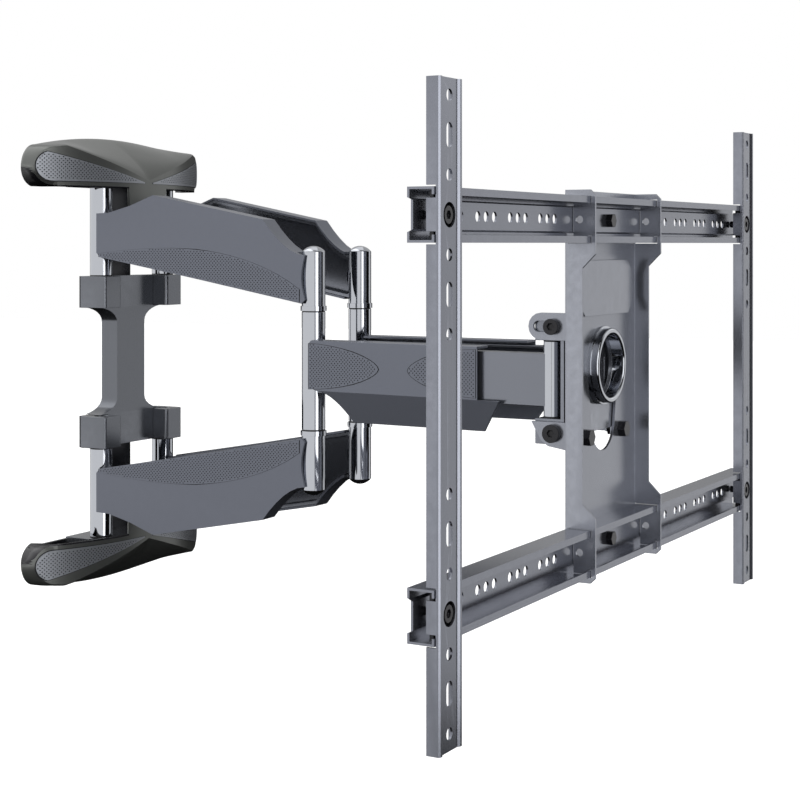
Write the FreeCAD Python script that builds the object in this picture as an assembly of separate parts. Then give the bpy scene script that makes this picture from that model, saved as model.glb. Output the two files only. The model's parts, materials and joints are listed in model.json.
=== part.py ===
"""Full motion television wall mount, in millimetres.

The origin is the middle of the wall plate's back face. +X runs to the right for a person looking at the
screen side, +Y runs into the wall and +Z is up, so the whole mount lies at Y below zero. The arms are
drawn out: two first arms and a forearm on each side of the middle plane. Depths on the screen side are
given as t, the distance behind the front of the television rails' webs.
"""

import FreeCAD, Part
import os
from math import asin, cos, degrees, pi, radians, sin, sqrt

# Arms and columns
link_length = 223.3  # shoulder to elbow, and elbow to wrist
pivot_half_spacing = 45.0  # shoulder and wrist axes from the middle plane
elbow_inset = 7.0  # how much nearer the middle the elbows are when drawn out
shoulder_depth = 30.0  # shoulder axis in front of the wall
column_radius = 10.0
column_bore_radius = 6.05
pin_radius = 6.0
elbow_half_height = 105.0
forearm_sleeve_half = 49.4
washer_thickness = 1.0
arm_bar_half_thickness = 6.0
arm_sheet = 2.5
cover_wall = 2.0
cover_gap = 0.3  # between a cover and the column that it passes
fit_gap = 0.02  # between a pressed or screwed shaft and its hole
thread_gap = 0.05
collar_bead = 1.0
collar_height = 4.0
dome_height = 5.0

# First arm side shape, height above the middle at distances along the arm
arm_foot_height = 95.8  # lower edge at the shoulder
arm_fall = 0.177  # how fast the lower edge falls towards the elbow
arm_wall_top = 134.0
arm_peak_top = 149.5
arm_peak_at = 66.0
arm_rise_at = 41.0  # start of the steeper rise to the peak
arm_rise_drop = 9.0
arm_neck_at = 18.0
arm_neck_rise = 0.6
arm_hollow_power = 1.8
arm_shoulder_top = 127.6
arm_shoulder_from_elbow = 43.0
arm_tip_top = 97.0
arm_start = 4.0  # cover's first edge in front of the shoulder axis
arm_tip_short = 1.5  # cover's last edge before the elbow axis
arm_end_wave = 3.5  # how far the last edge is hollowed
arm_corner = 3.0

# Forearm
forearm_low = -18.0
forearm_high = 22.0
forearm_cover_low = -16.0
forearm_cover_high = 26.0
forearm_cover_end = 163.0
skirt_low = -41.0
skirt_curve_start = 11.7
skirt_curve_power = 1.8
skirt_curve_steps = 8
skirt_start = 44.6
skirt_end = 183.0
skirt_end_rake = 16.0
forearm_cover_start = 2.5
skirt_set_in = 6.0
wrist_radius = 7.0
wrist_bore_radius = 4.05
wrist_pin_radius = 4.0
wrist_low = -26.5
wrist_high = 31.5

# Wall side
plate_thickness = 3.0
bar_half_width = 110.0
bar_low = 160.0
bar_high = 184.0
spine_back = 10.0  # the spine stands this far off the wall
spine_front = 28.0
spine_half_width = 20.0
foot_half_width = 8.0  # foot behind the middle of the spine, on the wall
foot_half_height = 12.0
flare_half_width = 50.0
flare_height = 14.0
ear_low = 49.0
ear_high = 77.5
ear_half_width = 12.0
ear_front = 44.0
ear_back = 16.0
ear_round = 3.0
ear_bar_half_width = 55.0
shelf_low = 158.0
shelf_thickness = 5.0
shelf_half_width = 62.0
shelf_front = 43.0
wall_hole_radius = 4.5
wall_hole_x = 90.0
wall_hole_z = 172.0
cap_half_width = 121.0
cap_low = 157.0
cap_end_high = 190.0
cap_high = 204.5
cap_end_depth = 14.0
cap_apex_depth = 49.0
cap_knee_depth = 44.0
cap_knee_x = 50.0
cap_apex_high = 166.0
cap_bow = 0.75  # part of the arch's rise already reached halfway to the middle
cap_end_round = 8.4
cap_end_corner = 7.0
cap_wall = 2.5
beak_low = 141.0
beak_half_width = 28.0
cap_post_x = 75.0
cap_post_radius = 4.0

# Screen side, as distances t behind the web front of the television rails
wrist_t = 44.3
rail_hole_x = 300.0  # television hole lines from the middle plane
tv_rail_half_height = 211.0
tv_rail_half_width = 15.5
tv_rail_sheet = 1.6
tv_rim_front = -1.4
tv_rail_back = 8.3
tv_hole_pitch = 25.0
tv_hole_radius = 4.0
tv_slot_length = 16.0
tv_big_radius = 8.0
tv_rim_width = 3.5
tv_rim_corner = 1.2
tv_rows = 17
tv_first_row = 3  # hole steps above the upper cross rail
tv_plain_rows = (7, 8, 9)
tv_big_rows = (3, 13)
tv_slot_rows = (1, 5, 11, 15)
cross_z = 125.0
cross_half_length = 317.0
cross_half_height = 17.5
cross_front = 1.9
cross_back = 21.0
cross_sheet = 1.6
cross_lip = 5.0
cross_emboss = 2.7
cross_emboss_half = 9.7
cross_emboss_draft = 1.2
cross_hole_radius = 3.75
cross_hole_pitch = 12.5
cross_group_pitch = 50.0
cross_group_first = 115.0
cross_groups = 4
slit_gap = 1.0
clamp_gap = 0.4
clamp_thickness = 3.0
clamp_head_height = 3.4
clamp_head_radius = 5.8
clamp_key = 5.0
channel_half_width = 69.5
channel_sheet = 2.0
channel_half_height = 147.5
channel_edge_t = 9.0
channel_ear_t = -1.5
channel_ear_low = 99.0
channel_gap = 0.5
ring_z = 11.0
ring_hole_radius = 31.0
ring_hub_radius = 30.9
ring_outer_radius = 29.5
ring_bore_radius = 25.0
ring_front_t = 13.0
ring_rim_round = 1.6
window_radius = 24.0
window_z = -32.0
pad_half_width = 56.0
pad_low = 51.0
pad_high = 94.0
pad_height = 3.5
pad_corner = 12.0
tongue_hole_radius = 3.0
channel_corner = 4.0
level_bolt_x = 36.0
level_bolt_z = -42.4
level_swing = 3.5
level_slot_gap = 0.7
level_nut_gap = 0.4
level_nut_height = 4.0
tilt_gap = 0.6
tilt_sheet = 3.0
tilt_half_width = 59.0
tilt_top = 54.0
tilt_low = -54.0
tilt_pivot_t = 38.0
tilt_pivot_z = -38.0
tilt_bolt_z = 43.5
tilt_bolt_radius = 3.2
tilt_bolt_head = 4.5
tilt_bolt_key = 5.0  # across the flats of the hexagon recess
tilt_nut_flats = 11.0
tilt_nut_height = 5.0
tilt_foot_half = 28.0  # half width of the notch in the tilt plate's lower edge
tilt_foot_high = -40.0
tilt_ear_lean = 8.0  # how far the lower ear leans out above
tilt_ear_foot = 4.0
tilt_bolt_head_radius = 6.2
tilt_pivot_head_radius = 7.0
tilt_slot_half = 4.3
tilt_slot_travel = 12.0
yoke_t = 30.0
yoke_sheet = 3.0
yoke_half_width = 55.6
yoke_ear_over = 8.0  # yoke ears past the tilt bolt's axis
yoke_ear_under = 9.0
yoke_window_low = -25.0
yoke_window_high = 16.0
bolt_radius = 3.0
bolt_head_flats = 10.0
bolt_head_height = 5.0

# Worked out from the sizes above
link_reach = sqrt(link_length**2 - elbow_inset**2)
rest_angle = degrees(asin(elbow_inset / link_length))
shoulder_y = -shoulder_depth
elbow_y = shoulder_y - link_reach
wrist_y = elbow_y - link_reach
elbow_x = pivot_half_spacing - elbow_inset
face_y = wrist_y - wrist_t
sleeve_low = ear_high + washer_thickness
sleeve_high = shelf_low - washer_thickness
elbow_sleeve_low = forearm_sleeve_half + washer_thickness
elbow_sleeve_high = elbow_half_height - dome_height
cover_out = column_radius + cover_gap + cover_wall
cover_in = arm_bar_half_thickness + 1.0
tilt_t = cross_back + channel_sheet + tilt_gap
tilt_back_t = tilt_t + tilt_sheet
channel_back_t = cross_back + channel_sheet


def at(t):
    """Y of a depth t behind the television rails' web front."""
    return face_y + t


def box(x0, x1, y0, y1, z0, z1):
    return Part.makeBox(x1 - x0, y1 - y0, z1 - z0, FreeCAD.Vector(x0, y0, z0))


def rod(x, y, z, radius, length, axis):
    return Part.makeCylinder(radius, length, FreeCAD.Vector(x, y, z), FreeCAD.Vector(*axis))


def tube(x, y, z, outer, inner, length, axis):
    return rod(x, y, z, outer, length, axis).cut(rod(x, y, z, inner, length, axis))


def upright(x, y, radius, z0, z1):
    return rod(x, y, z0, radius, z1 - z0, (0, 0, 1))


def prism(points, thickness, place):
    """Solid from an outline of (a, b) pairs; place turns a pair into a point, thickness is a vector."""
    corners = [FreeCAD.Vector(*place(a, b)) for a, b in points]
    face = Part.Face(Part.makePolygon(corners + corners[:1]))
    return face.extrude(FreeCAD.Vector(*thickness))


def front_prism(points, y0, y1):
    return prism(points, (0, y1 - y0, 0), lambda x, z: (x, y0, z))


def side_prism(points, x0, x1):
    return prism(points, (x1 - x0, 0, 0), lambda y, z: (x0, y, z))


def plan_prism(points, z0, z1):
    return prism(points, (0, 0, z1 - z0), lambda x, y: (x, y, z0))


def arc_points(centre, radius, first, last, count):
    steps = [radians(first + (last - first) * i / (count - 1)) for i in range(count)]
    return [(centre[0] + radius * cos(a), centre[1] + radius * sin(a)) for a in steps]


def hexagon(flats):
    across = flats / sqrt(3)
    return [(across * cos(pi * i / 3), across * sin(pi * i / 3)) for i in range(6)]


def hex_block(x, y0, y1, z, flats):
    return front_prism([(x + a, z + b) for a, b in hexagon(flats)], y0, y1)


def hex_block_x(x0, x1, y, z, flats):
    return side_prism([(y + a, z + b) for a, b in hexagon(flats)], x0, x1)


def mirror_x(shape):
    return shape.mirror(FreeCAD.Vector(0, 0, 0), FreeCAD.Vector(1, 0, 0))


def mirror_z(shape):
    return shape.mirror(FreeCAD.Vector(0, 0, 0), FreeCAD.Vector(0, 0, 1))


def join(shapes):
    whole = shapes[0]
    for shape in shapes[1:]:
        whole = whole.fuse(shape)
    return whole.removeSplitter()


def cut_all(shape, cutters):
    for cutter in cutters:
        shape = shape.cut(cutter)
    return shape


def upright_edges(shape, x_range, y_range):
    """Edges along Z whose place is inside the given ranges."""
    found = []
    for edge in shape.Edges:
        box_ = edge.BoundBox
        straight = box_.XLength < 1e-6 and box_.YLength < 1e-6
        if straight and x_range[0] < box_.XMin < x_range[1] and y_range[0] < box_.YMin < y_range[1]:
            found.append(edge)
    return found


def save(name, *shapes):
    whole = shapes[0] if len(shapes) == 1 else Part.makeCompound(list(shapes))
    whole.exportStep("parts/" + name + ".step")


# ---------------------------------------------------------------- wall side


def spine_outline(margin=0.0):
    """Outline of the spine cover: narrow between the ears, with a hollow curve out to each ear."""
    waist = spine_half_width - margin
    reach = flare_half_width - spine_half_width
    foot = ear_low + margin - flare_height
    steps = 7
    corner = []
    for i in range(steps + 1):
        angle = pi / 2 * i / steps
        corner.append((waist + reach * (1 - cos(angle)), foot + flare_height * sin(angle)))
    right = [(flare_half_width - margin, ear_high - margin)] + corner[::-1]
    right += [(x, -z) for x, z in right[::-1]]
    return right + [(-x, z) for x, z in right[::-1]]


def spine_core():
    """Steel spine off the wall with a crossbar behind each pair of ears."""
    half = spine_half_width - cover_wall
    front = spine_back + plate_thickness
    body = box(-half, half, -front, -spine_back, -bar_high, bar_high)
    for z0, z1 in ((ear_low, ear_high), (-ear_high, -ear_low)):
        body = body.fuse(box(-ear_bar_half_width, ear_bar_half_width, -ear_back, -front, z0, z1))
    return body


def wall_plate():
    half = spine_half_width - cover_wall
    foot = box(-foot_half_width, foot_half_width, -spine_back, 0, -foot_half_height, foot_half_height)
    parts = [spine_core(), foot]
    for z0, z1 in ((bar_low, bar_high), (-bar_high, -bar_low)):
        parts.append(box(-bar_half_width, bar_half_width, -plate_thickness, 0, z0, z1))
    step_low = shelf_low + shelf_thickness
    for x0, x1 in ((-half, plate_thickness - half), (half - plate_thickness, half)):
        for z0, z1 in ((step_low, bar_high), (-bar_high, -step_low)):
            parts.append(box(x0, x1, -spine_back, -plate_thickness, z0, z1))
    holes = []
    front = -spine_back - plate_thickness - 1
    for x in (-wall_hole_x, 0, wall_hole_x):
        for z in (-wall_hole_z, wall_hole_z):
            holes.append(rod(x, front, z, wall_hole_radius, 1 - front, (0, 1, 0)))
    return cut_all(join(parts), holes)


def ear(side):
    x = side * pivot_half_spacing
    block = box(x - ear_half_width, x + ear_half_width, -ear_front, -ear_back, ear_low, ear_high)
    edges = upright_edges(block, (x - 99, x + 99), (-ear_front - 1, -ear_front + 1))
    block = block.makeFillet(ear_round, edges)
    return block.cut(upright(x, shoulder_y, pin_radius, ear_low - 1, ear_high + 1))


def spine_cover():
    outer = front_prism(spine_outline(), -spine_front, -spine_back)
    inner = front_prism(spine_outline(cover_wall), cover_wall - spine_front, 1)
    shell = outer.cut(inner).cut(spine_core())
    for side in (-1, 1):
        x = side * pivot_half_spacing
        reach = ear_half_width + cover_gap
        for z0, z1 in ((ear_low, ear_high), (-ear_high, -ear_low)):
            window = box(x - reach, x + reach, -spine_front - 1, 0, z0 - cover_gap, z1 + cover_gap)
            shell = shell.cut(window)
    return max(shell.Solids, key=lambda solid: solid.Volume)


def shelf():
    """Plate under a cap, which holds the ends of both shoulder pins."""
    front_half = pivot_half_spacing / 2
    outline = [
        (-shelf_half_width, -plate_thickness),
        (-shelf_half_width, -shoulder_depth),
        (-front_half, -shelf_front),
        (front_half, -shelf_front),
        (shelf_half_width, -shoulder_depth),
        (shelf_half_width, -plate_thickness),
    ]
    body = plan_prism(outline, shelf_low, shelf_low + shelf_thickness).cut(spine_core())
    for side in (-1, 1):
        x = side * pivot_half_spacing
        body = body.cut(upright(x, shoulder_y, pin_radius, shelf_low - 1, shelf_low + shelf_thickness + 1))
    return body


def cap_block(wall):
    """Cap's outer form, or with a wall its hollow: a V in plan, a slope in front, a low arch on top."""
    half = cap_half_width - wall
    low = cap_low if wall == 0 else cap_low - 1.0
    back = 0.0 if wall == 0 else 1.0
    right = [(cap_knee_x, wall - cap_knee_depth), (half, wall - cap_end_depth), (half, back)]
    plan = [(-x, y) for x, y in right[::-1]] + [(0, wall - cap_apex_depth)] + right
    block = plan_prism(plan, low, cap_high + 10)
    end_high = cap_end_high - wall
    high = cap_high - wall
    near_high = end_high + (high - end_high) * cap_bow
    front = [
        (-half, low - 1),
        (-half, end_high - cap_end_round),
        (-half + cap_end_corner, end_high),
        (-half * 0.5, near_high),
        (0, high),
        (half * 0.5, near_high),
        (half - cap_end_corner, end_high),
        (half, end_high - cap_end_round),
        (half, low - 1),
    ]
    block = block.common(front_prism(front, -cap_apex_depth - 5, 5))
    slope = [
        (5, low - 1),
        (-cap_apex_depth - 1, low - 1),
        (-cap_apex_depth - 1, cap_apex_high - wall),
        (wall - cap_apex_depth, cap_apex_high - wall),
        (-cap_end_depth, end_high + 2),
        (0, high + 1),
        (5, high + 1),
    ]
    return block.common(side_prism(slope, -half - 5, half + 5))


def cap():
    shell = cap_block(0).cut(cap_block(cap_wall))
    rise = (cap_apex_depth - cap_knee_depth) / cap_knee_x * beak_half_width
    front = [(-beak_half_width, rise - cap_apex_depth), (0, -cap_apex_depth),
             (beak_half_width, rise - cap_apex_depth)]
    beak = front + [(x, y + cap_wall) for x, y in front[::-1]]
    parts = [shell, plan_prism(beak, beak_low, cap_low + 3)]
    fall = (cap_knee_depth - cap_end_depth) / (cap_half_width - cap_knee_x)
    for side in (-1, 1):
        depth = cap_knee_depth - fall * (cap_post_x - cap_knee_x)
        length = depth - plate_thickness - cap_wall * 0.5
        middle = cap_low + cap_wall + cap_post_radius
        place = (side * cap_post_x, -plate_thickness - length, middle)
        parts.append(rod(*place, cap_post_radius, length, (0, 1, 0)))
    return join(parts)


def shoulder_pin(side):
    x = side * pivot_half_spacing
    return upright(x, shoulder_y, pin_radius - fit_gap, ear_low + 1, shelf_low + shelf_thickness + 1)


def washer(x, y, outer, inner, z0, thickness):
    return tube(x, y, z0, outer, inner, thickness, (0, 0, 1))


def shoulder_washers():
    rings = []
    for side in (-1, 1):
        x = side * pivot_half_spacing
        for z in (ear_high, sleeve_high):
            ring = washer(x, shoulder_y, column_radius, pin_radius, z, washer_thickness)
            rings += [ring, mirror_z(ring)]
    return rings


# ---------------------------------------------------------------- arms, drawn along -Y from their pivot


def turn(shape, degrees_, x, y):
    shape = shape.copy()
    shape.rotate(FreeCAD.Vector(0, 0, 0), FreeCAD.Vector(0, 0, 1), degrees_)
    shape.translate(FreeCAD.Vector(x, y, 0))
    return shape


def arm_outline(margin, start, tip):
    """Side outline of a first arm as (distance along the arm, height), hollow above and at its last edge."""
    foot = arm_foot_height + margin
    low = foot - arm_fall * tip
    high = arm_tip_top - margin
    neck = link_length - arm_shoulder_from_elbow
    steps = 6
    hollow = []
    for i in range(steps):
        part = i / steps
        along = neck + (tip - neck) * part
        drop = (arm_shoulder_top - arm_tip_top) * (1 - (1 - part) ** arm_hollow_power)
        hollow.append((along, arm_shoulder_top - drop - margin))
    end = []
    for i in range(steps + 1):
        height = low + arm_corner + (high - low - arm_corner) * i / steps
        end.append((tip - arm_end_wave * sin(pi * i / steps), height))
    return [
        (start, foot + arm_corner),
        (start + arm_corner, foot),
        (tip - arm_corner, low),
    ] + end + hollow[::-1] + [
        (arm_peak_at, arm_peak_top - margin),
        (arm_rise_at, arm_peak_top - margin - arm_rise_drop),
        (arm_neck_at, arm_wall_top - margin + arm_neck_rise),
        (start, arm_wall_top - margin),
    ]


def along_arm(points):
    return [(-along, height) for along, height in points]


def arm_cover():
    """Cover of an upper first arm: outer wall and rim, open towards the middle of the mount."""
    tip = link_length - arm_tip_short
    inside = arm_outline(cover_wall, arm_start + cover_wall, tip - cover_wall)
    outer = side_prism(along_arm(arm_outline(0, arm_start, tip)), -cover_out, cover_in)
    hollow = side_prism(along_arm(inside), cover_wall - cover_out, cover_in + 1)
    shell = outer.cut(hollow)
    cutters = []
    for along in (0, link_length):
        reach = column_radius + cover_wall
        cutters.append(upright(0, -along, column_radius + cover_gap, 0, cap_high))
        cutters.append(box(-arm_bar_half_thickness - 1, cover_in + 1, -along - reach, -along + reach,
                           0, cap_high))
    return max(cut_all(shell, cutters).Solids, key=lambda solid: solid.Volume)


def first_arm():
    """Steel first arm: a channel open towards the middle, with a sleeve at each end."""
    half = arm_bar_half_thickness
    inset = cover_wall + cover_gap
    tip = link_length - arm_tip_short
    inner = inset + arm_sheet
    outer = side_prism(along_arm(arm_outline(inset, arm_start + inset, tip - inset)), -half, half)
    inside = arm_outline(inner, arm_start + inner, tip - inner)
    hollow = side_prism(along_arm(inside), arm_sheet - half, half + 1)
    body = outer.cut(hollow)
    ends = [(0, sleeve_low, sleeve_high), (link_length, elbow_sleeve_low, elbow_sleeve_high)]
    for along, z0, z1 in ends:
        body = body.fuse(upright(0, -along, column_radius, z0, z1))
    bead = rod(0, -link_length, elbow_sleeve_low, column_radius + collar_bead, collar_height, (0, 0, 1))
    body = body.fuse(bead).removeSplitter()
    for along, z0, z1 in ends:
        body = body.cut(upright(0, -along, column_bore_radius, z0 - 5, z1 + 5))
    return max(body.Solids, key=lambda solid: solid.Volume)


def elbow_pin():
    return upright(0, -link_length, pin_radius, -elbow_sleeve_high, elbow_sleeve_high)


def elbow_dome():
    """Domed cap on the end of an elbow column, with a plug that seats on the pin's end."""
    ball_radius = (column_radius**2 + dome_height**2) / (2 * dome_height)
    centre = FreeCAD.Vector(0, -link_length, elbow_sleeve_high + dome_height - ball_radius)
    ball = Part.makeSphere(ball_radius, centre)
    return ball.common(upright(0, -link_length, column_radius, elbow_sleeve_high, elbow_half_height + 1))


def elbow_washers():
    low = washer(0, -link_length, column_radius - cover_gap, pin_radius + cover_gap / 3, forearm_sleeve_half,
                 washer_thickness)
    return [low, mirror_z(low)]


def forearm():
    half = arm_bar_half_thickness
    body = box(-half, half, -link_length, 0, forearm_low, forearm_high)
    inside = box(arm_sheet - half, half + 1, wrist_radius - link_length, -column_radius,
                 forearm_low + arm_sheet, forearm_high - arm_sheet)
    body = body.cut(inside)
    body = body.fuse(upright(0, 0, column_radius, -forearm_sleeve_half, forearm_sleeve_half))
    body = body.fuse(upright(0, -link_length, wrist_radius, wrist_low, wrist_high)).removeSplitter()
    body = body.cut(upright(0, 0, column_bore_radius, -forearm_sleeve_half - 1, forearm_sleeve_half + 1))
    return body.cut(upright(0, -link_length, wrist_bore_radius, wrist_low - 1, wrist_high + 1))


def forearm_cover():
    """Light face, top rim and a skirt below that leans inwards and hides the cables."""
    out = -cover_out
    section = [
        (out, forearm_cover_high),
        (cover_in, forearm_cover_high),
        (cover_in, forearm_cover_high - cover_wall),
        (out + cover_wall, forearm_cover_high - cover_wall),
        (out + cover_wall, forearm_cover_low),
        (out + skirt_set_in + cover_wall, skirt_low),
        (out + skirt_set_in, skirt_low),
        (out, forearm_cover_low),
    ]
    strip = prism(section, (0, -skirt_end, 0), lambda x, z: (x, 0, z))
    curve = []
    for i in range(skirt_curve_steps + 1):
        part = i / skirt_curve_steps
        along = skirt_curve_start + (skirt_start - skirt_curve_start) * part
        curve.append((along, forearm_cover_low + (skirt_low - forearm_cover_low) * part**skirt_curve_power))
    side = along_arm([
        (forearm_cover_start, forearm_cover_high - arm_corner),
        (forearm_cover_start + arm_corner, forearm_cover_high),
        (forearm_cover_end, forearm_cover_high),
        (forearm_cover_end, forearm_cover_low),
        (skirt_end, forearm_cover_low),
        (skirt_end - skirt_end_rake, skirt_low),
    ] + curve[::-1] + [(forearm_cover_start, forearm_cover_low + arm_corner)])
    strip = strip.common(side_prism(side, -cover_out - 1, cover_out + 1))
    return strip.cut(upright(0, 0, column_radius + cover_gap, skirt_low - 1, forearm_cover_high + 1))


def save_arms():
    """Left arms are drawn first; the right ones are their mirror images."""
    arm = first_arm()
    cover = arm_cover()
    dome = elbow_dome()
    shoulder = (rest_angle, -pivot_half_spacing, shoulder_y)
    left_parts = {
        "upper_arm": [arm],
        "upper_arm_cover": [cover],
        "lower_arm": [mirror_z(arm)],
        "lower_arm_cover": [mirror_z(cover)],
        "elbow_pin": [elbow_pin()],
        "elbow_domes": [dome, mirror_z(dome)],
        "elbow_washers": elbow_washers(),
    }
    placed = {name: [turn(s, *shoulder) for s in shapes] for name, shapes in left_parts.items()}
    elbow = (-rest_angle, -elbow_x, elbow_y)
    placed["forearm"] = [turn(forearm(), *elbow)]
    placed["forearm_cover"] = [turn(forearm_cover(), *elbow)]
    for name, shapes in placed.items():
        save("left_" + name, *shapes)
        save("right_" + name, *[mirror_x(s) for s in shapes])


# ---------------------------------------------------------------- head between the wrists and the screen


def yoke():
    """Steel yoke that holds both wrist pins and carries the tilt plate on its four ears."""
    wide = yoke_half_width
    high = wrist_high + washer_thickness
    low = wrist_low - washer_thickness
    back = wrist_t + wrist_radius + 3
    parts = [box(-wide, wide, at(yoke_t), at(yoke_t + yoke_sheet), low - yoke_sheet, high + yoke_sheet)]
    parts.append(box(-wide, wide, at(yoke_t), at(back), high, high + yoke_sheet))
    parts.append(box(-wide, wide, at(yoke_t), at(back), low - yoke_sheet, low))
    for x0, x1 in ((-wide, yoke_sheet - wide), (wide - yoke_sheet, wide)):
        parts.append(box(x0, x1, at(yoke_t), at(back), high, tilt_bolt_z + yoke_ear_over))
        parts.append(box(x0, x1, at(yoke_t), at(back), tilt_pivot_z - yoke_ear_under, low))
    body = join(parts)
    window = pivot_half_spacing - wrist_radius * 3
    body = body.cut(box(-window, window, at(yoke_t - 1), at(yoke_t + yoke_sheet + 1), yoke_window_low,
                        yoke_window_high))
    for side in (-1, 1):
        x = side * pivot_half_spacing
        body = body.cut(upright(x, wrist_y, wrist_pin_radius + fit_gap / 2, low - 9, high + 9))
    for z in (tilt_bolt_z, tilt_pivot_z):
        body = body.cut(rod(-wide - 1, at(tilt_pivot_t), z, tilt_bolt_radius + thread_gap, 2 * wide + 2, (1, 0, 0)))
    return body


def wrist_pin(side):
    """Wrist pin with a low head at each end."""
    x = side * pivot_half_spacing
    high = wrist_high + washer_thickness + yoke_sheet
    low = wrist_low - washer_thickness - yoke_sheet
    shaft = upright(x, wrist_y, wrist_pin_radius, low, high)
    heads = [upright(x, wrist_y, wrist_radius - 1, z, z + 2) for z in (high, low - 2)]
    return join([shaft] + heads)


def wrist_washers():
    rings = []
    for side in (-1, 1):
        for z in (wrist_high, wrist_low - washer_thickness):
            x = side * pivot_half_spacing
            rings.append(washer(x, wrist_y, wrist_radius, wrist_pin_radius + fit_gap, z, washer_thickness))
    return rings


def tilt_bolt(z, head_radius):
    """Bolt through a yoke ear and a tilt ear, with a round head outside and a nut inside."""
    inner = yoke_half_width - yoke_sheet
    outer = tilt_half_width + cover_gap
    shaft = rod(inner - tilt_nut_height, at(tilt_pivot_t), z, tilt_bolt_radius,
                outer - inner + tilt_nut_height + 1, (1, 0, 0))
    head = rod(outer, at(tilt_pivot_t), z, head_radius, tilt_bolt_head, (1, 0, 0))
    recess = hex_block_x(outer + tilt_bolt_head / 2, outer + tilt_bolt_head + 1, at(tilt_pivot_t), z,
                         tilt_bolt_key)
    nut = hex_block_x(inner - tilt_nut_height, inner, at(tilt_pivot_t), z, tilt_nut_flats)
    return join([shaft, head, nut]).cut(recess)


def tilt_plate():
    """Plate behind the channel with four side ears: slotted above, pivot holes below."""
    wide = tilt_half_width
    sheet = tilt_sheet - 0.4
    notch = tilt_foot_half
    plate = [(-wide, tilt_low), (-notch, tilt_low), (-notch, tilt_foot_high), (notch, tilt_foot_high),
             (notch, tilt_low), (wide, tilt_low), (wide, tilt_top), (-wide, tilt_top)]
    body = front_prism(plate, at(tilt_t), at(tilt_back_t))
    slot_end = tilt_pivot_t + tilt_slot_travel
    ear_radius = tilt_top - tilt_bolt_z
    upper = [(at(tilt_t), tilt_bolt_z - ear_radius), (at(slot_end - 2), tilt_bolt_z - ear_radius)]
    upper += [(at(slot_end - 2) + a, tilt_bolt_z + b) for a, b in arc_points((0, 0), ear_radius, -90, 90, 9)]
    upper += [(at(tilt_t), tilt_top)]
    lower = [
        (at(tilt_t), wrist_low - 3),
        (at(slot_end - 2 + tilt_ear_lean), wrist_low - 3),
        (at(slot_end - 2), tilt_pivot_z - tilt_ear_foot - 2),
        (at(tilt_pivot_t + tilt_ear_foot), tilt_pivot_z - tilt_ear_foot - 6),
        (at(tilt_t), tilt_low + 3),
    ]
    for x0, x1 in ((-wide, sheet - wide), (wide - sheet, wide)):
        body = body.fuse(side_prism(upper, x0, x1)).fuse(side_prism(lower, x0, x1))
    slot = box(-wide - 1, wide + 1, at(tilt_pivot_t), at(slot_end), tilt_bolt_z - tilt_slot_half,
               tilt_bolt_z + tilt_slot_half)
    for t in (tilt_pivot_t, slot_end):
        slot = slot.fuse(rod(-wide - 1, at(t), tilt_bolt_z, tilt_slot_half, 2 * wide + 2, (1, 0, 0)))
    pivot = rod(-wide - 1, at(tilt_pivot_t), tilt_pivot_z, tilt_bolt_radius + thread_gap, 2 * wide + 2, (1, 0, 0))
    front = at(tilt_back_t)
    bore = rod(0, at(tilt_t) - 1, ring_z, ring_bore_radius, tilt_sheet + 2, (0, 1, 0))
    ears_only = box(-wide - 2, wide + 2, front, front + 90, -99, 99)
    body = body.cut(slot.common(ears_only)).cut(pivot.common(ears_only)).cut(bore)
    return cut_all(body, level_slots()).removeSplitter()


def level_slots():
    """Arc slots around the ring's axis for the two levelling bolts."""
    cutters = []
    for side in (-1, 1):
        for i in range(9):
            angle = radians(level_swing * (i - 4) / 4)
            dx = side * level_bolt_x
            dz = level_bolt_z - ring_z
            x = dx * cos(angle) - dz * sin(angle)
            z = ring_z + dx * sin(angle) + dz * cos(angle)
            cutters.append(rod(x, at(tilt_t) - 1, z, bolt_radius + level_slot_gap, tilt_sheet + 2, (0, 1, 0)))
    return cutters


def level_ring():
    """Bearing ring on the tilt plate: the channel turns on its hub to level the screen."""
    hub = rod(0, at(cross_back - 2), ring_z, ring_hub_radius, tilt_t - cross_back + 2, (0, 1, 0))
    nose = rod(0, at(ring_front_t), ring_z, ring_outer_radius, tilt_t - ring_front_t, (0, 1, 0))
    body = join([hub, nose])
    body = body.cut(rod(0, at(ring_front_t) - 1, ring_z, ring_bore_radius, tilt_t - ring_front_t + 2, (0, 1, 0)))
    rims = [e for e in body.Edges if e.BoundBox.YMax < at(ring_front_t) + 0.01]
    return body.makeFillet(ring_rim_round, rims)


# ---------------------------------------------------------------- screen plate


def c_section(grow, embossed):
    """Section of a cross rail as (height, t): open to the front, with lips turned in."""
    high = cross_half_height + grow
    inner = cross_half_height - cross_sheet - grow
    lip = cross_half_height - cross_lip - grow
    front = cross_front - grow
    lip_back = cross_front + cross_sheet + grow
    web = cross_back - cross_sheet - grow - (0 if embossed else cross_emboss)
    half = [(lip, lip_back), (lip, front), (high, front), (high, cross_back)]
    inside = [(inner, lip_back), (inner, web)]
    if embossed:
        edge = cross_emboss_half
        draft = cross_emboss_draft
        half += [(edge + draft, cross_back), (edge, cross_back - cross_emboss)]
        inside += [(edge + draft / 2, web), (edge - draft / 2, web - cross_emboss)]
    around = half + [(-z, t) for z, t in half[::-1]]
    return around + [(-z, t) for z, t in inside] + inside[::-1]


def cross_rail_solid(x0, x1, grow=0.0, embossed=True):
    outline = c_section(grow, embossed)
    return prism(outline, (x1 - x0, 0, 0), lambda z, t: (x0, at(t), cross_z + z))


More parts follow.
